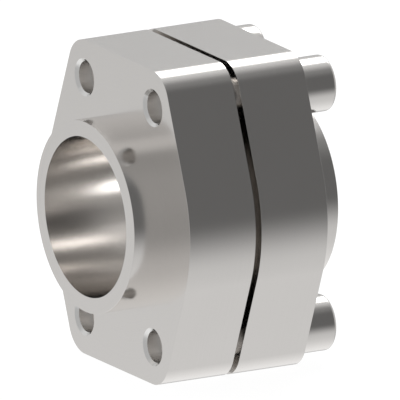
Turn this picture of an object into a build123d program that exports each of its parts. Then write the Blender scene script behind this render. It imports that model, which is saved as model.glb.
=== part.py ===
from build123d import *
import os
from math import hypot, pi

# Bolted pair of flanges for a high pressure hydraulic pipe.
# The pipe axis is Y, Z is up, and the origin is on the axis at the parting plane.
# The tapped flange lies towards -Y and the clearance flange towards +Y.
# All sizes are in millimetres.

# Bolt pattern and outline of both plates
BOLT_SPAN_ACROSS = 42.9
BOLT_SPAN_UP = 77.8
PLATE_THICKNESS = 24.0
PLATE_WIDTH = 90.0
CORNER_RADIUS = 10.0
CORNER_SHIFT = 2.1

# Weld hub and fluid bore
BORE_DIAMETER = 51.4
HUB_WALL = 5.1
HUB_LENGTH = 12.0

# Sealing lands, ring groove and ring
PLATE_GAP = 2.0
LAND_TO_SCREW = 2.72
RING_CORD = 3.53
RING_SQUEEZE = 0.207
RING_SIDE_ROOM = 0.41
GROOVE_LIP = 1.25

# Cap screws and their holes
SCREW_DIAMETER = 12.0
SCREW_LENGTH = 45.0
THREAD_PITCH = 1.75
THREAD_ROOM = 0.05
TAP_MOUTH_ROOM = 0.1
SHANK_ROOM = 0.25
HOLE_CLEARANCE = 1.5
HEAD_DIAMETER = 18.0
HEAD_HEIGHT = 12.0
HEAD_BEVEL = 1.0
SOCKET_FLATS = 10.0
SOCKET_DEPTH = 6.0

# Sizes that follow from the ones above
hub_diameter = BORE_DIAMETER + 2 * HUB_WALL
land_height = PLATE_GAP / 2
bolt_circle_radius = hypot(BOLT_SPAN_ACROSS, BOLT_SPAN_UP) / 2
land_radius = bolt_circle_radius - SCREW_DIAMETER / 2 - LAND_TO_SCREW
plate_outer = land_height + PLATE_THICKNESS
hub_end = plate_outer + HUB_LENGTH

# The squeezed ring fills the groove's depth and keeps the area of its round cord
groove_depth = RING_CORD * (1 - RING_SQUEEZE)
ring_bevel = groove_depth * (1 - 0.5**0.5)
ring_width = (pi * RING_CORD**2 / 4 + 2 * ring_bevel**2) / groove_depth
groove_width = ring_width + 2 * RING_SIDE_ROOM
groove_middle = BORE_DIAMETER / 2 + GROOVE_LIP + groove_width / 2

thread_core = SCREW_DIAMETER - 1.0825 * THREAD_PITCH
tap_drill = thread_core + 2 * THREAD_ROOM
tap_chamfer = (SCREW_DIAMETER - tap_drill) / 2 + TAP_MOUTH_ROOM
clearance_hole = SCREW_DIAMETER + HOLE_CLEARANCE
shank_end = SHANK_ROOM - land_height
tip = plate_outer - SCREW_LENGTH
head_top = plate_outer + HEAD_HEIGHT

# Each flange is built outwards from the parting plane, along its own side's normal
tapped_side = Plane.XZ
clearance_side = -Plane.XZ


def flange_blank(side):
    """Land, plate and weld hub of one flange, stacked outwards and bored through."""
    with BuildPart() as blank:
        with BuildSketch(side):
            Circle(land_radius)
        extrude(amount=land_height)

        # The outline is the hull of four corner rounds and the round middle
        with BuildSketch(side.offset(land_height)):
            with GridLocations(BOLT_SPAN_ACROSS, BOLT_SPAN_UP + 2 * CORNER_SHIFT, 2, 2):
                Circle(CORNER_RADIUS)
            Circle(PLATE_WIDTH / 2)
            make_hull()
        extrude(amount=PLATE_THICKNESS)

        with BuildSketch(side.offset(plate_outer)):
            Circle(hub_diameter / 2)
        extrude(amount=HUB_LENGTH)

        with Locations(side.offset(hub_end)):
            Hole(BORE_DIAMETER / 2)
    return blank.part


# Near flange: tapped holes, drawn at the drill size, with chamfered outer mouths
with BuildPart() as tapped_flange:
    add(flange_blank(tapped_side))
    with Locations(tapped_side.offset(plate_outer)):
        with GridLocations(BOLT_SPAN_ACROSS, BOLT_SPAN_UP, 2, 2):
            Hole(tap_drill / 2, depth=PLATE_THICKNESS)
    hole_rims = tapped_flange.edges(Select.LAST).filter_by(GeomType.CIRCLE)
    chamfer(hole_rims.group_by(Axis.Y)[0], length=tap_chamfer)
tapped_flange.part.label = "tapped_flange"

# Far flange: plain clearance holes, and the ring groove in its land
with BuildPart() as clearance_flange:
    add(flange_blank(clearance_side))
    with Locations(clearance_side.offset(plate_outer)):
        with GridLocations(BOLT_SPAN_ACROSS, BOLT_SPAN_UP, 2, 2):
            Hole(clearance_hole / 2, depth=PLATE_THICKNESS)
    with BuildSketch(clearance_side):
        Circle(groove_middle + groove_width / 2)
        Circle(groove_middle - groove_width / 2, mode=Mode.SUBTRACT)
    extrude(amount=groove_depth, mode=Mode.SUBTRACT)
clearance_flange.part.label = "clearance_flange"

# Sealing ring: its round cord squeezed flat between the groove floor and the other land
with BuildPart() as o_ring:
    with BuildSketch(Plane.XY):
        with Locations((groove_middle, groove_depth / 2)):
            ring_section = Rectangle(ring_width, groove_depth)
        chamfer(ring_section.vertices(), length=ring_bevel)
    revolve(axis=Axis.Y)
o_ring.part.label = "o_ring"

# Cap screws, one for each corner of the bolt pattern, seen along +Y
corners = {
    "upper_left": (-1, 1),
    "upper_right": (1, 1),
    "lower_left": (-1, -1),
    "lower_right": (1, -1),
}
screws = []
for corner, (across, up) in corners.items():
    screw_x = across * BOLT_SPAN_ACROSS / 2
    screw_z = up * BOLT_SPAN_UP / 2

    with BuildPart() as screw:
        # Half section about the screw axis, with the engaged thread drawn at its core
        # and the full shank stopping just short of the tapped plate
        with BuildSketch(Plane((screw_x, 0, screw_z), x_dir=(1, 0, 0), z_dir=(0, 0, 1))):
            with BuildLine():
                Polyline(
                    (0, tip),
                    (thread_core / 2 - tap_chamfer, tip),
                    (thread_core / 2, tip + tap_chamfer),
                    (thread_core / 2, shank_end),
                    (SCREW_DIAMETER / 2, shank_end),
                    (SCREW_DIAMETER / 2, plate_outer),
                    (HEAD_DIAMETER / 2, plate_outer),
                    (HEAD_DIAMETER / 2, head_top),
                    (0, head_top),
                    close=True,
                )
            make_face()
        revolve(axis=Axis((screw_x, 0, screw_z), (0, 1, 0)))

        head_rim = screw.edges().filter_by_position(Axis.Y, head_top, head_top)
        chamfer(head_rim, length=HEAD_BEVEL)

        # Hexagon socket
        with BuildSketch(Plane((screw_x, head_top, screw_z), x_dir=(1, 0, 0), z_dir=(0, 1, 0))):
            RegularPolygon(SOCKET_FLATS / 2, 6, major_radius=False)
        extrude(amount=-SOCKET_DEPTH, mode=Mode.SUBTRACT)
    screw.part.label = f"screw_{corner}"
    screws.append(screw.part)

os.makedirs("parts", exist_ok=True)
export_step(tapped_flange.part, "parts/tapped_flange.step")
export_step(clearance_flange.part, "parts/clearance_flange.step")
export_step(o_ring.part, "parts/o_ring.step")
for screw_part in screws:
    export_step(screw_part, f"parts/{screw_part.label}.step")
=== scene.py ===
from math import cos, hypot, pi, radians, sin, sqrt, tan

import bpy
import numpy as np
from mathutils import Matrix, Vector
from mathutils.geometry import delaunay_2d_cdt


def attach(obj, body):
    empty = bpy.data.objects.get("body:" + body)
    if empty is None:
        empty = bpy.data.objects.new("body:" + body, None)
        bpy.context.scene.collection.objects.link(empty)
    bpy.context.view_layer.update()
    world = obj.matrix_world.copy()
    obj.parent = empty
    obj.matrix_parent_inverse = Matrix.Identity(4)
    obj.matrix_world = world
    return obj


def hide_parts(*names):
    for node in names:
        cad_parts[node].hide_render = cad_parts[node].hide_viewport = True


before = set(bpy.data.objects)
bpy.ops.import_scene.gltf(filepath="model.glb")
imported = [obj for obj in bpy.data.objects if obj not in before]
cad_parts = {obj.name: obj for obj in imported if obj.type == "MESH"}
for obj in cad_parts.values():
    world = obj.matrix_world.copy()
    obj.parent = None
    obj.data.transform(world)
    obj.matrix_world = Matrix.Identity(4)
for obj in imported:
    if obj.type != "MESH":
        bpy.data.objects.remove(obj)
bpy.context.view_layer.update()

# Bolted pair of flanges for a high pressure hydraulic pipe.
# The pipe axis is Y, Z is up, and the origin is on the axis at the parting plane.
# The tapped flange lies towards -Y and the clearance flange towards +Y.

MM = 0.001

# Driving sizes in millimetres, as the CAD nodes have them: plates and bolt pattern
BOLT_SPAN_ACROSS = 42.9
BOLT_SPAN_UP = 77.8
PLATE_THICKNESS = 24.0
PLATE_WIDTH = 90.0
PLATE_GAP = 2.0
CORNER_RADIUS = 10.0
CORNER_SHIFT = 2.1

# Hub, bore, sealing lands, ring groove and ring
BORE_RADIUS = 25.7
HUB_WALL = 5.1
HUB_LENGTH = 12.0
LAND_TO_SCREW = 2.72
RING_CORD = 3.53
RING_SQUEEZE = 0.207
RING_SIDE_ROOM = 0.41
GROOVE_LIP = 1.25

# Cap screws and their holes
SHANK_RADIUS = 6.0
SCREW_LENGTH = 45.0
THREAD_PITCH = 1.75
THREAD_DEPTH = 1.0825 / 2 * THREAD_PITCH
THREAD_ROOM = 0.05
TAP_MOUTH_ROOM = 0.1
HOLE_CLEARANCE = 1.5
HEAD_RADIUS = 9.0
HEAD_HEIGHT = 12.0
SOCKET_FLATS = 10.0
SOCKET_DEPTH = 6.0

# Small forms that only this model has. The gap's two edges aren't broken alike.
EDGE_BREAK = 0.05
GAP_EDGE_TAPPED = 0.15
GAP_EDGE_CLEARANCE = 0.02
SHANK_TO_PLATE = 0.01
HEAD_ROUNDING = 1.2
SOCKET_LEAD = 0.25
PILOT_RADIUS = 4.8
DRILL_POINT = radians(118.0)

# Sizes that follow from the ones above
BOLT_X = BOLT_SPAN_ACROSS / 2
BOLT_Z = BOLT_SPAN_UP / 2
CORNER_Z = BOLT_Z + CORNER_SHIFT
MIDDLE_RADIUS = PLATE_WIDTH / 2
HUB_RADIUS = BORE_RADIUS + HUB_WALL
LAND_RADIUS = hypot(BOLT_X, BOLT_Z) - SHANK_RADIUS - LAND_TO_SCREW
LAND_HEIGHT = PLATE_GAP / 2
PLATE_OUTER = LAND_HEIGHT + PLATE_THICKNESS
HUB_END = PLATE_OUTER + HUB_LENGTH
HEAD_TOP = PLATE_OUTER + HEAD_HEIGHT
SCREW_TIP = PLATE_OUTER - SCREW_LENGTH
SHANK_END = SHANK_TO_PLATE - LAND_HEIGHT
THREAD_CORE_RADIUS = SHANK_RADIUS - THREAD_DEPTH
TAP_DRILL_RADIUS = THREAD_CORE_RADIUS + THREAD_ROOM
TAP_CHAMFER = SHANK_RADIUS - TAP_DRILL_RADIUS + TAP_MOUTH_ROOM
CLEARANCE_RADIUS = SHANK_RADIUS + HOLE_CLEARANCE / 2

# The squeezed ring fills the groove's depth. It is as wide as a section of the cord's area
# with bevelled corners.
GROOVE_DEPTH = RING_CORD * (1 - RING_SQUEEZE)
RING_BEVEL = GROOVE_DEPTH * (1 - sqrt(0.5))
RING_WIDTH = (pi * RING_CORD**2 / 4 + 2 * RING_BEVEL**2) / GROOVE_DEPTH
GROOVE_INNER = BORE_RADIUS + GROOVE_LIP
GROOVE_OUTER = GROOVE_INNER + RING_WIDTH + 2 * RING_SIDE_ROOM
RING_MIDDLE = (GROOVE_INNER + GROOVE_OUTER) / 2

# Points round each kind of circle
FINE_STEPS = 192
HOLE_STEPS = 64
SCREW_STEPS = 96
CORNER_STEPS = 24
MIDDLE_STEPS = 48
ROUNDING_STEPS = 6

# Points are welded if they agree to this many parts of a millimetre. A flat face is cut into
# triangles over its whole hull, which kind 0 stands for, and with this tolerance.
WELDS_PER_MM = 1e5
WHOLE_HULL = 0
CUT_TOLERANCE = 1e-9

ALONG = np.array([0.0, 1.0, 0.0])
CORNERS = {
    "upper_left": (-BOLT_X, BOLT_Z),
    "upper_right": (BOLT_X, BOLT_Z),
    "lower_left": (-BOLT_X, -BOLT_Z),
    "lower_right": (BOLT_X, -BOLT_Z),
}


# Surfaces


class Surface:
    """Patches of points with their outward normals, welded into one closed mesh."""

    def __init__(self):
        self.points = []
        self.normals = []
        self.faces = []
        self.finishes = []
        self.count = 0

    def add(self, points, normals, faces, finish):
        """Takes in one patch and turns its faces to the side that its normals point to."""
        a, b, c = (points[faces[:, k]] for k in range(3))
        facing = (np.cross(b - a, c - a) * normals[faces[:, 0]]).sum()
        if facing < 0:
            faces = faces[:, ::-1]
        self.points.append(points)
        self.normals.append(normals)
        self.faces.append(faces + self.count)
        self.finishes += [finish] * len(faces)
        self.count += len(points)

    def grid(self, points, normals, finish=0, closed=True):
        """Four-sided faces between neighbours of a grid; closed joins each row's two ends."""
        rows, columns = points.shape[:2]
        index = np.arange(rows * columns).reshape(rows, columns)
        if closed:
            index = np.concatenate([index, index[:, :1]], axis=1)
        corners = [index[:-1, :-1], index[:-1, 1:], index[1:, 1:], index[1:, :-1]]
        faces = np.stack(corners, axis=-1).reshape(-1, 4)
        self.add(points.reshape(-1, 3), normals.reshape(-1, 3), faces, finish)

    def fan(self, rim, apex, normals, finish=0):
        """Triangles from a closed rim to one point."""
        n = len(rim)
        i = np.arange(n)
        faces = np.stack([i, (i + 1) % n, np.full(n, n)], axis=-1)
        self.add(np.vstack([rim, apex]), normals, faces, finish)

    def flat(self, loops, side, finish=0):
        """A flat face between its convex outer loop and the loops of its round holes, cut
        into triangles by their places (x, z). Those inside a hole go: their middles lie
        nearer to its centre than the middle of the chord between two of its points."""
        points = np.concatenate(loops)
        places = points[:, [0, 2]]
        starts = np.cumsum([0] + [len(loop) for loop in loops])
        edges = []
        for start, loop in zip(starts, loops):
            i = np.arange(len(loop))
            edges.append(np.stack([i, (i + 1) % len(loop)], axis=-1) + start)
        edges = np.concatenate(edges).tolist()
        corners = [Vector(place) for place in places.tolist()]
        _, _, triangles, origins, _, _ = delaunay_2d_cdt(
            corners, edges, [], WHOLE_HULL, CUT_TOLERANCE, True
        )
        given = np.array([origin[0] for origin in origins])
        faces = given[np.array(triangles)]
        middles = places[faces].mean(axis=1)
        inside = np.zeros(len(faces), bool)
        for loop in loops[1:]:
            hole = loop[:, [0, 2]]
            centre = hole.mean(axis=0)
            chord = np.hypot(*((hole[0] + hole[1]) / 2 - centre))
            inside |= np.hypot(*(middles - centre).T) < chord
        self.add(points, np.broadcast_to(side * ALONG, points.shape), faces[~inside], finish)

    def finish(self, name, materials):
        """One welded object of all the patches, in metres, with the patches' own normals."""
        points = np.concatenate(self.points)
        normals = np.concatenate(self.normals)
        keys = np.round(points * WELDS_PER_MM).astype(np.int64)
        _, first, weld = np.unique(keys, axis=0, return_index=True, return_inverse=True)
        weld = weld.ravel()
        faces = [face for patch in self.faces for face in weld[patch].tolist()]
        face_corners = np.concatenate([patch.ravel() for patch in self.faces])
        mesh = bpy.data.meshes.new(name)
        mesh.from_pydata((points[first] * MM).tolist(), [], faces)
        mesh.polygons.foreach_set("use_smooth", [True] * len(faces))
        mesh.polygons.foreach_set("material_index", self.finishes)
        for material in materials:
            mesh.materials.append(material)
        mesh.normals_split_custom_set(normals[face_corners])
        piece = bpy.data.objects.new(name, mesh)
        bpy.context.scene.collection.objects.link(piece)
        return piece


def circle(x, z, steps):
    """A loop of radius 0 about (x, z): each point's normal points away from the axis, so
    moving it out along that normal by r gives the circle of radius r."""
    angle = np.arange(steps) * (2 * pi / steps)
    normals = np.stack([np.cos(angle), np.zeros(steps), np.sin(angle)], axis=-1)
    return np.tile([x, 0.0, z], (steps, 1)), normals


def outline():
    """The plates' outline as a loop: the hull of four corner circles and one middle circle.
    The common tangent of a corner circle, centre c and radius r, and the middle circle,
    radius R, has the normal n with n . c = R - r. Each circle gives the arc between its
    two tangents' normals, as centre + radius * (cos, sin)."""
    corner_distance = hypot(BOLT_X, CORNER_Z)
    corner_angle = np.arctan2(CORNER_Z, BOLT_X)
    tangent = corner_angle - np.arccos((MIDDLE_RADIUS - CORNER_RADIUS) / corner_distance)
    arcs = [
        (0, 0, MIDDLE_RADIUS, -tangent, tangent, MIDDLE_STEPS),
        (1, 1, CORNER_RADIUS, tangent, pi / 2, CORNER_STEPS),
        (-1, 1, CORNER_RADIUS, pi / 2, pi - tangent, CORNER_STEPS),
        (0, 0, MIDDLE_RADIUS, pi - tangent, pi + tangent, MIDDLE_STEPS),
        (-1, -1, CORNER_RADIUS, pi + tangent, 1.5 * pi, CORNER_STEPS),
        (1, -1, CORNER_RADIUS, 1.5 * pi, 2 * pi - tangent, CORNER_STEPS),
    ]
    points, normals = [], []
    for across, up, radius, start, end, steps in arcs:
        angle = np.linspace(start, end, steps + 1)
        normal = np.stack([np.cos(angle), 0 * angle, np.sin(angle)], axis=-1)
        centre = np.array([across * BOLT_X, 0.0, up * CORNER_Z])
        points.append(centre + radius * normal)
        normals.append(normal)
    return np.concatenate(points), np.concatenate(normals)


def placed(loop, out, y):
    """The loop moved out along its own normals by out, and set at y."""
    points, normals = loop
    return points + out * normals + y * ALONG


def carried(surface, loop, profile, finish=0):
    """A profile carried round a loop. Each straight run of the profile is (out, y) at both
    ends and is a grid of two rows: point = loop point + out * loop normal + y * Y. The
    surface's normal is the run turned a quarter turn, to the side that is given."""
    _, normals = loop
    for (out_a, y_a), (out_b, y_b), side in profile:
        length = hypot(out_b - out_a, y_b - y_a)
        outward = side * (y_b - y_a) / length
        along = -side * (out_b - out_a) / length
        rows = np.stack([placed(loop, out_a, y_a), placed(loop, out_b, y_b)])
        normal = outward * normals + along * ALONG
        surface.grid(rows, np.stack([normal, normal]), finish)


def runs(side, *corners):
    """The straight runs between a profile's corners, all facing the same side of the path."""
    return [(a, b, side) for a, b in zip(corners, corners[1:])]


# Materials


class Socket:
    """One socket of a node tree. Its operators add the Math nodes of an expression."""

    def __init__(self, tree, socket):
        self.tree = tree
        self.socket = socket

    def __add__(self, other):
        return self.tree.math("ADD", self, other)

    def __radd__(self, other):
        return self.tree.math("ADD", other, self)

    def __sub__(self, other):
        return self.tree.math("SUBTRACT", self, other)

    def __rsub__(self, other):
        return self.tree.math("SUBTRACT", other, self)

    def __mul__(self, other):
        return self.tree.math("MULTIPLY", self, other)

    def __rmul__(self, other):
        return self.tree.math("MULTIPLY", other, self)


class Outputs:
    """A node's outputs, wrapped when they are asked for by number or name."""

    def __init__(self, tree, made):
        self.tree = tree
        self.made = made

    def __getitem__(self, key):
        return Socket(self.tree, self.made.outputs[key])


class Tree:
    """A node tree that is filled by one method, with short forms of the commonest nodes."""

    def __init__(self, owner):
        owner.use_nodes = True
        self.nodes = owner.node_tree.nodes
        self.links = owner.node_tree.links
        self.nodes.clear()

    def node(self, kind, settings=None, inputs=None):
        """Adds a node: its settings first, then the values or links of its inputs."""
        made = self.nodes.new("ShaderNode" + kind)
        for key, value in (settings or {}).items():
            setattr(made, key, value)
        for key, value in (inputs or {}).items():
            if isinstance(value, Socket):
                self.links.new(value.socket, made.inputs[key])
            else:
                made.inputs[key].default_value = value
        return Outputs(self, made)

    def math(self, operation, *values):
        """One Math node."""
        return self.node("Math", {"operation": operation}, dict(enumerate(values)))[0]

    def smooth(self, value, low, high):
        """0 below low, 1 above high, and a smooth step between."""
        settings = {"interpolation_type": "SMOOTHSTEP"}
        return self.node("MapRange", settings, {"Value": value, 1: low, 2: high})[0]

    def scaled(self, colour, factor):
        """A colour times a factor."""
        return self.node("VectorMath", {"operation": "SCALE"}, {0: colour, "Scale": factor})[0]

    def mixed(self, factor, first, second):
        """The first colour where the factor is 0 and the second where it is 1. A Mix node
        takes its colours in sockets 6 and 7."""
        inputs = {"Factor": factor, 6: first, 7: second}
        return self.node("Mix", {"data_type": "RGBA"}, inputs)[2]

    def axes(self, vector):
        """The three parts of a vector."""
        parts = self.node("SeparateXYZ", inputs={0: vector})
        return parts["X"], parts["Y"], parts["Z"]

    def noise(self, dimensions, detail, inputs):
        """A noise from 0 to 1."""
        settings = {"noise_dimensions": dimensions}
        return self.node("TexNoise", settings, {"Detail": detail, **inputs})[0]

    def bump(self, height, strength, distance):
        """A normal that is tilted as if the surface rose with the height."""
        inputs = {"Strength": strength, "Distance": distance, "Height": height}
        return self.node("Bump", inputs=inputs)[0]


# Lines and clouds on steel, and the grain of rubber. Scales are in cells to the metre.
LINE_SCALE = 2600.0
LINE_HEIGHT = 0.02 * MM
LINE_STRENGTH = 0.12
CLOUD_SCALE = 45.0
GRAIN_SCALE = 900.0
GRAIN_HEIGHT = 0.05 * MM
GRAIN_STRENGTH = 0.3


def steel(name, colour, roughness, turned=False):
    """Bright machined steel with fine lines and broad faint clouds. A turned finish has
    rings round the pipe axis: its lines are read from the distance to the axis plus Y. A
    milled one reads Y alone. Both noises lie about one half, so that the colour and the
    roughness stay near the given ones."""
    material = bpy.data.materials.new(name)
    tree = Tree(material)
    place = tree.node("TexCoord")["Object"]
    x, y, z = tree.axes(place)
    line = tree.math("SQRT", x * x + z * z) + y if turned else y
    lines = tree.noise("1D", 4.0, {"W": line, "Scale": LINE_SCALE})
    clouds = tree.noise("3D", 3.0, {"Vector": place, "Scale": CLOUD_SCALE})
    shader = tree.node(
        "BsdfPrincipled",
        inputs={
            "Base Color": tree.scaled(colour, 0.96 + 0.05 * lines + 0.03 * clouds),
            "Metallic": 1.0,
            "Roughness": roughness - 0.03 + 0.04 * lines + 0.03 * clouds,
            "Normal": tree.bump(lines, LINE_STRENGTH, LINE_HEIGHT),
        },
    )
    tree.node("OutputMaterial", inputs={"Surface": shader[0]})
    return material


def rubber(name, dark, pale):
    """Matt black moulded rubber with a fine grain between two near blacks."""
    material = bpy.data.materials.new(name)
    tree = Tree(material)
    place = tree.node("TexCoord")["Object"]
    grain = tree.noise("3D", 4.0, {"Vector": place, "Scale": GRAIN_SCALE})
    shader = tree.node(
        "BsdfPrincipled",
        inputs={
            "Base Color": tree.mixed(grain, dark, pale),
            "Roughness": 0.62 + 0.1 * grain,
            "Normal": tree.bump(grain, GRAIN_STRENGTH, GRAIN_HEIGHT),
        },
    )
    tree.node("OutputMaterial", inputs={"Surface": shader[0]})
    return material


# Turned and milled steel are one colour. The chamfers and the drilled walls are lighter and
# less smooth, and the screws' shanks are ground.
STEEL = (0.705, 0.685, 0.665)
turned_steel = steel("turned_steel", STEEL, 0.15, turned=True)
milled_steel = steel("milled_steel", STEEL, 0.15)
cut_steel = steel("cut_steel", (0.74, 0.735, 0.725), 0.2)
drilled_steel = steel("drilled_steel", (0.77, 0.75, 0.73), 0.3)
screw_steel = steel("screw_steel", STEEL, 0.15)
shank_steel = steel("shank_steel", (0.84, 0.84, 0.84), 0.03)
seal_rubber = rubber("seal_rubber", (0.012, 0.012, 0.012, 1), (0.028, 0.027, 0.026, 1))


# Flanges

# Material slots of a flange's mesh
TURNED, MILLED, CUT, DRILLED = range(4)


def flange(name, side, hole_radius, mouth_chamfer, gap_edge, groove):
    """One flange: the outline, the lathed land, bore and hub, and four holes, as profiles
    carried round their loops, with flat faces between them. side is -1 towards -Y and 1
    towards +Y."""
    surface = Surface()
    edge = EDGE_BREAK

    def on_side(*corners):
        """The profile's runs on this flange's side. A mirrored path faces the other way."""
        return runs(side, *[(out, side * y) for out, y in corners])

    rim = outline()
    carried(surface, rim, on_side(
        (-gap_edge, LAND_HEIGHT), (0, LAND_HEIGHT + gap_edge),
        (0, PLATE_OUTER - edge), (-edge, PLATE_OUTER),
    ), MILLED)

    axis = circle(0, 0, FINE_STEPS)
    groove_corners = [
        (GROOVE_INNER, 0), (GROOVE_INNER, GROOVE_DEPTH),
        (GROOVE_OUTER, GROOVE_DEPTH), (GROOVE_OUTER, 0),
    ]
    carried(surface, axis, on_side(
        (HUB_RADIUS, PLATE_OUTER), (HUB_RADIUS, HUB_END - edge),
        (HUB_RADIUS - edge, HUB_END), (BORE_RADIUS + edge, HUB_END),
        (BORE_RADIUS, HUB_END - edge), (BORE_RADIUS, edge), (BORE_RADIUS + edge, 0),
        *(groove_corners if groove else []),
        (LAND_RADIUS - edge, 0), (LAND_RADIUS, edge), (LAND_RADIUS, LAND_HEIGHT),
    ), TURNED)

    mouth = hole_radius + mouth_chamfer
    mouth_end = PLATE_OUTER - mouth_chamfer
    inner = hole_radius + edge
    hole_loops = [circle(x, z, HOLE_STEPS) for x, z in CORNERS.values()]
    for hole in hole_loops:
        carried(surface, hole, on_side((mouth, PLATE_OUTER), (hole_radius, mouth_end)), CUT)
        carried(surface, hole, on_side(
            (hole_radius, mouth_end), (hole_radius, LAND_HEIGHT + edge), (inner, LAND_HEIGHT),
        ), DRILLED)

    for height, back_off, middle_radius, radius, facing in (
        (PLATE_OUTER, edge, HUB_RADIUS, mouth, side),
        (LAND_HEIGHT, gap_edge, LAND_RADIUS, inner, -side),
    ):
        y = side * height
        loops = [placed(rim, -back_off, y), placed(axis, middle_radius, y)]
        loops += [placed(hole, radius, y) for hole in hole_loops]
        surface.flat(loops, facing, TURNED)

    return surface.finish(name, [turned_steel, milled_steel, cut_steel, drilled_steel])


near = flange("near_flange", -1, TAP_DRILL_RADIUS, TAP_CHAMFER, GAP_EDGE_TAPPED, groove=False)
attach(near, "root")
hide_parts("tapped_flange")
far = flange("far_flange", 1, CLEARANCE_RADIUS, EDGE_BREAK, GAP_EDGE_CLEARANCE, groove=True)
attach(far, "root")
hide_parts("clearance_flange")


# Screws

# Material slots of a screw's mesh
HEAD, SHANK = range(2)


def turned_screw(surface, axis):
    """Tip, thread core, shank and head: the half section turned about the screw's axis, a
    flat tip, and a rounded rim, which is a quarter circle about the point one rounding in
    from the head's side and one down from its top."""
    centres, directions = axis
    tip_radius = THREAD_CORE_RADIUS - TAP_CHAMFER
    carried(surface, axis, runs(
        1,
        (tip_radius, SCREW_TIP), (THREAD_CORE_RADIUS, SCREW_TIP + TAP_CHAMFER),
        (THREAD_CORE_RADIUS, SHANK_END), (SHANK_RADIUS, SHANK_END),
        (SHANK_RADIUS, PLATE_OUTER),
    ), SHANK)
    carried(surface, axis, runs(
        1,
        (SHANK_RADIUS, PLATE_OUTER), (HEAD_RADIUS - EDGE_BREAK, PLATE_OUTER),
        (HEAD_RADIUS, PLATE_OUTER + EDGE_BREAK), (HEAD_RADIUS, HEAD_TOP - HEAD_ROUNDING),
    ), HEAD)
    tip = placed(axis, tip_radius, SCREW_TIP)
    surface.fan(tip, centres[:1] + SCREW_TIP * ALONG, np.tile(-ALONG, (len(tip) + 1, 1)), HEAD)

    turn = np.linspace(0, pi / 2, ROUNDING_STEPS + 1)[:, None, None]
    rim_normals = np.cos(turn) * directions + np.sin(turn) * ALONG
    rim_centre = placed(axis, HEAD_RADIUS - HEAD_ROUNDING, HEAD_TOP - HEAD_ROUNDING)
    surface.grid(rim_centre + HEAD_ROUNDING * rim_normals, rim_normals, HEAD)


def hexagon_socket(surface, axis):
    """The head's top and its socket. In each direction the hexagon's distance from the axis
    is half its width across flats over the cosine of the angle to the nearest flat's
    middle, and a corner points along +X. The lead is a cone of 45 degrees from the mouth
    down to where it meets the flats. Below the flats are the floor, and the cone that the
    pilot drill leaves."""
    centres, directions = axis
    angle = np.arange(SCREW_STEPS) * (2 * pi / SCREW_STEPS)
    to_flat = np.mod(angle, pi / 3) - pi / 6
    reach = (SOCKET_FLATS / 2 / np.cos(to_flat))[:, None]
    mouth_radius = SOCKET_FLATS / sqrt(3) + SOCKET_LEAD
    mouth = placed(axis, mouth_radius, HEAD_TOP)
    flat_top = np.tile(ALONG, (2, SCREW_STEPS, 1))
    head_edge = placed(axis, HEAD_RADIUS - HEAD_ROUNDING, HEAD_TOP)
    surface.grid(np.stack([head_edge, mouth]), flat_top, HEAD)

    lead_end = centres + reach * directions + (HEAD_TOP - (mouth_radius - reach)) * ALONG
    lead_normals = (ALONG - directions) / sqrt(2)
    surface.grid(np.stack([mouth, lead_end]), np.stack([lead_normals, lead_normals]), HEAD)

    floor_y = HEAD_TOP - SOCKET_DEPTH
    floor_ring = centres + reach * directions + floor_y * ALONG
    side_steps = SCREW_STEPS // 6
    for side in range(6):
        span = (np.arange(side_steps + 1) + side * side_steps) % SCREW_STEPS
        middle = (side + 0.5) * pi / 3
        inward = np.array([-cos(middle), 0.0, -sin(middle)])
        rows = np.stack([lead_end[span], floor_ring[span]])
        surface.grid(rows, np.broadcast_to(inward, rows.shape), HEAD, closed=False)

    pilot = placed(axis, PILOT_RADIUS, floor_y)
    surface.grid(np.stack([floor_ring, pilot]), flat_top, HEAD)
    slope = DRILL_POINT / 2
    cone_normals = sin(slope) * ALONG - cos(slope) * directions
    apex = centres[:1] + (floor_y - PILOT_RADIUS / tan(slope)) * ALONG
    surface.fan(pilot, apex, np.vstack([cone_normals, ALONG]), HEAD)


def cap_screw(name, x, z):
    """A socket head cap screw about the axis at (x, z)."""
    surface = Surface()
    axis = circle(x, z, SCREW_STEPS)
    turned_screw(surface, axis)
    hexagon_socket(surface, axis)
    return surface.finish(name, [screw_steel, shank_steel])


for corner, (bolt_x, bolt_z) in CORNERS.items():
    screw = cap_screw(f"cap_screw_{corner}", bolt_x, bolt_z)
    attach(screw, "root")
    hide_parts(f"screw_{corner}")


# Seal ring


def seal():
    """The squeezed ring: flat against the groove's floor and the other land, and half
    round at both sides, as a section carried round the pipe axis. A point of the section
    is (middle + shift + half depth * cos, half depth + half depth * sin), and the shift
    keeps the two half circles apart."""
    _, directions = circle(0, 0, FINE_STEPS)
    half_depth = GROOVE_DEPTH / 2
    flat_half = RING_WIDTH / 2 - half_depth
    turn = np.linspace(-pi / 2, pi / 2, 2 * ROUNDING_STEPS + 1)
    around = np.concatenate([turn, turn + pi, turn[:1]])
    shift = np.repeat([flat_half, -flat_half, flat_half], [len(turn), len(turn), 1])
    out = (RING_MIDDLE + shift + half_depth * np.cos(around))[:, None, None]
    y = (half_depth + half_depth * np.sin(around))[:, None, None]
    outward = np.cos(around)[:, None, None]
    along = np.sin(around)[:, None, None]
    surface = Surface()
    surface.grid(out * directions + y * ALONG, outward * directions + along * ALONG)
    return surface.finish("seal_ring", [seal_rubber])


ring = seal()
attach(ring, "root")
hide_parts("o_ring")


# Studio, in metres

bpy.context.scene.view_settings.view_transform = "Standard"

world = bpy.data.worlds.new("white_room")
bpy.context.scene.world = world
room = Tree(world)
white = room.node("Background", inputs={"Color": (1, 1, 1, 1), "Strength": 1.0})
room.node("OutputWorld", inputs={"Surface": white[0]})

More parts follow.
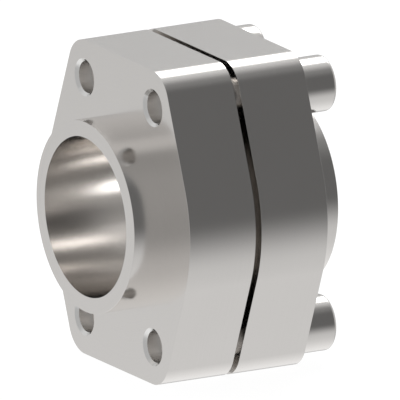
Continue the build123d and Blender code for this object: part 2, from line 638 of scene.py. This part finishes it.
# Pale floor under the object. It glows near white, so the object's shadow on it is faint.
FLOOR_HEIGHT = -(CORNER_Z + CORNER_RADIUS) * MM
FLOOR_REACH = 40.0
FLOOR_PAINT = 0.12
FLOOR_GLOW = 0.95
floor_corners = [
    (across * FLOOR_REACH, along * FLOOR_REACH, FLOOR_HEIGHT)
    for across, along in ((-1, -1), (1, -1), (1, 1), (-1, 1))
]
floor_mesh = bpy.data.meshes.new("floor")
floor_mesh.from_pydata(floor_corners, [], [(0, 1, 2, 3)])
floor_material = bpy.data.materials.new("pale_floor")
paint = Tree(floor_material)
matt = paint.node("BsdfDiffuse", inputs={"Color": (FLOOR_PAINT, FLOOR_PAINT, FLOOR_PAINT, 1)})
glow = paint.node("Emission", inputs={"Color": (1, 1, 1, 1), "Strength": FLOOR_GLOW})
both = paint.node("AddShader", inputs={0: matt[0], 1: glow[0]})
paint.node("OutputMaterial", inputs={"Surface": both[0]})
floor_mesh.materials.append(floor_material)
floor = bpy.data.objects.new("floor", floor_mesh)
bpy.context.scene.collection.objects.link(floor)
floor.visible_glossy = False
floor.visible_diffuse = False
floor.visible_shadow = False

# The tent round the object is a sphere: radius * (cos latitude * cos longitude,
# cos latitude * sin longitude, sin latitude), with a fan at each pole
TENT_RADIUS = 0.6
TENT_TURNS, TENT_RISES = 96, 48
longitude = np.arange(TENT_TURNS) * (2 * pi / TENT_TURNS)
latitude = np.linspace(-pi / 2, pi / 2, TENT_RISES + 1)[1:-1, None]
directions = np.stack([
    np.cos(latitude) * np.cos(longitude),
    np.cos(latitude) * np.sin(longitude),
    np.sin(latitude) + 0 * longitude,
], axis=-1)
tent_radius = TENT_RADIUS / MM
tent_surface = Surface()
tent_surface.grid(tent_radius * directions, directions)
for pole, row in ((-1, directions[0]), (1, directions[-1])):
    rim_and_pole = np.vstack([row, [0, 0, pole]])
    tent_surface.fan(tent_radius * row, [[0, 0, pole * tent_radius]], rim_and_pole)

tent_material = bpy.data.materials.new("tent_cloth")
tent_material.cycles.emission_sampling = "NONE"
cloth = Tree(tent_material)
place = cloth.node("TexCoord")["Object"]
direction = cloth.node("VectorMath", {"operation": "NORMALIZE"}, {0: place})[0]
x, y, z = cloth.axes(direction)

# The tent's grey changes softly with the turn round the pipe axis, in degrees from +X
# through +Z (over) or through -Z (under). Each row adds an amount between two turns.
over = cloth.math("ARCTAN2", z, x) * (180 / pi)
under = -1 * over


def grey(start, over_rows, under_rows):
    """The start, plus each row's amount times a smooth step between the row's two turns."""
    level = start
    for angle, rows in ((over, over_rows), (under, under_rows)):
        for amount, first, last in rows:
            level = level + amount * cloth.smooth(angle, first, last)
    return level


# Behind the object the cloth is dark towards +X, with a key light above and bright below
KEY_LEVEL = 4.0
behind = grey(
    0.156,
    [
        (0.12, 38, 66), (0.47, 63, 93), (KEY_LEVEL, 96, 113), (-KEY_LEVEL, 128, 142),
        (-0.14, 140, 158), (-0.14, 166, 184),
    ],
    [(0.57, 0, 42), (0.335, 34, 112), (-0.46, 122, 138), (-0.13, 140, 176)],
)

# Before the object it has even greys, lighter above and below
before = grey(
    0.495,
    [
        (0.03, -5, 25), (-0.045, 45, 72), (0.39, 78, 92), (-0.21, 98, 111),
        (0.13, 106, 146), (-0.12, 155, 185),
    ],
    [(0.3, 14, 58), (0.235, 50, 108), (-0.3, 118, 172), (-0.05, 160, 180)],
)

# The halves meet softly across the middle, and each end along the pipe axis has one grey.
# The steps are in the direction's part along the axis.
MIDDLE_STEP = (-0.35, 0.35)
END_BEFORE, END_BEFORE_STEP = 0.56, (0.58, 0.78)
END_BEHIND, END_BEHIND_STEP = 0.6, (0.62, 0.85)
level = before + (behind - before) * cloth.smooth(y, *MIDDLE_STEP)
level = level + (END_BEFORE - level) * cloth.smooth(-1 * y, *END_BEFORE_STEP)
level = level + (END_BEHIND - level) * cloth.smooth(y, *END_BEHIND_STEP)
light = cloth.scaled((1, 1, 1), level)
cloth_glow = cloth.node("Emission", inputs={"Color": light, "Strength": 1.0})
cloth.node("OutputMaterial", inputs={"Surface": cloth_glow[0]})
tent = tent_surface.finish("tent", [tent_material])
tent.visible_camera = False
tent.visible_transmission = False

# Camera at the photograph's angle. Parallel edges are parallel in the photograph too, so
# the camera has no perspective. It is moved aside to put the object where the photograph
# has it. The direction back points from the object to the camera.
AZIMUTH, ELEVATION = radians(60.0), radians(15.0)
VIEW_WIDTH = 0.12575
MOVED_RIGHT, MOVED_UP = 0.0039705, 0.0005975
CAMERA_DISTANCE = 0.5
back = Vector((
    sin(AZIMUTH) * cos(ELEVATION), -cos(AZIMUTH) * cos(ELEVATION), sin(ELEVATION)
))
right = Vector((cos(AZIMUTH), sin(AZIMUTH), 0.0))
up = back.cross(right)
lens = bpy.data.cameras.new("camera")
lens.type = "ORTHO"
lens.ortho_scale = VIEW_WIDTH
lens.clip_start, lens.clip_end = 0.01, 100.0
camera = bpy.data.objects.new("camera", lens)
bpy.context.scene.collection.objects.link(camera)
camera.location = MOVED_RIGHT * right + MOVED_UP * up + CAMERA_DISTANCE * back
camera.rotation_mode = "QUATERNION"
camera.rotation_quaternion = (-back).to_track_quat("-Z", "Y")
bpy.context.scene.camera = camera

# Light goes to and fro between the bright walls of the bore, the gap and the bolt holes
bpy.context.scene.cycles.glossy_bounces = 6
